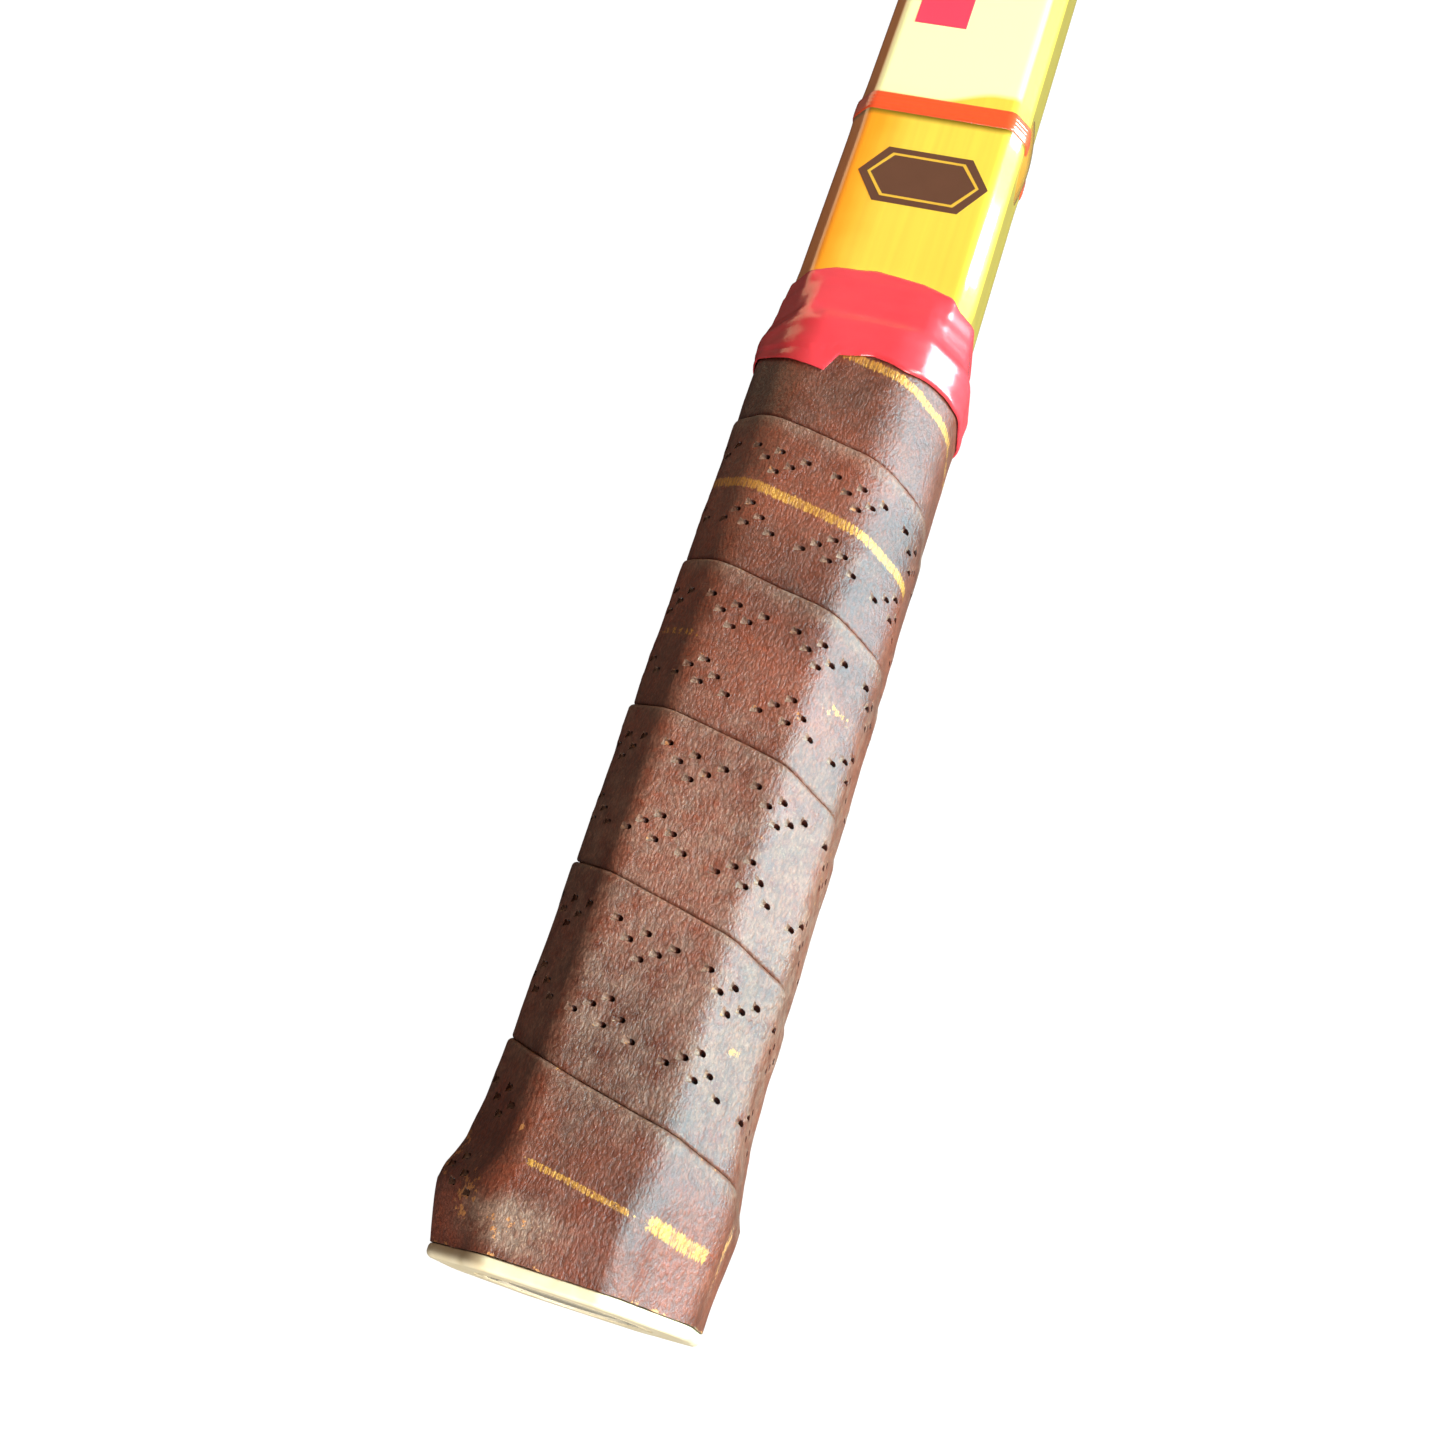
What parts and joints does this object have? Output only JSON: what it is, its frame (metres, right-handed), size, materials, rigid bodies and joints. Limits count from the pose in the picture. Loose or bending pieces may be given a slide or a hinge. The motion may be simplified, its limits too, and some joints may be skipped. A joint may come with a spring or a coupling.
{
  "type": "tennis racket",
  "caption": "Strung wooden tennis racket with a laminated bow, throat wedge, flared octagonal handle, spiral leather grip and collar tape.",
  "frame": {"origin": "centre of the butt cap's end face", "axes": "+Y along the racket from the butt to the tip, +X across the face, +Z out of the front face"},
  "size_m": [0.228, 0.686, 0.0378],
  "materials": {
    "ash_outer": "amber gloss lacquer over ash",
    "ash_inner": "gloss lacquered ash",
    "beech": "gloss lacquered beech",
    "fibre_ply": "dyed vulcanised fibre, lacquered edge",
    "dark_wedge": "mahogany, gloss lacquer",
    "core_wood": "amber gloss lacquer",
    "cream_plastic": "aged cream moulding",
    "badge": "plain gloss disc",
    "tack_brass": "brassed steel tack",
    "brown_leather": "perforated reddish brown calf, worn",
    "red_tape": "glossy stretched vinyl tape",
    "red_band": "thread band under lacquer",
    "amber_lacquer": "clear amber lacquer lens",
    "string_gut": "translucent natural-gut colour"
  },
  "bodies": {
    "root": {"bow_ply_1": "ash_outer", "bow_ply_2": "fibre_ply", "bow_ply_3": "ash_inner", "bow_ply_4": "beech", "bow_ply_5": "fibre_ply", "bow_ply_6": "ash_inner", "hoop_liner": "ash_inner", "throat_wedge": "dark_wedge", "shaft_core": "core_wood", "pallet_front": "beech", "pallet_back": "beech", "butt_cap": "cream_plastic", "butt_badge": "badge", "butt_cap_tacks": "tack_brass", "grip_leather": "brown_leather", "grip_tack": "tack_brass", "collar_tape": "red_tape", "shaft_band": "red_band", "band_tail": "amber_lacquer", "main_string": "string_gut", "cross_string": "string_gut", "tie_knots": "string_gut"}
  },
  "joints": []
}
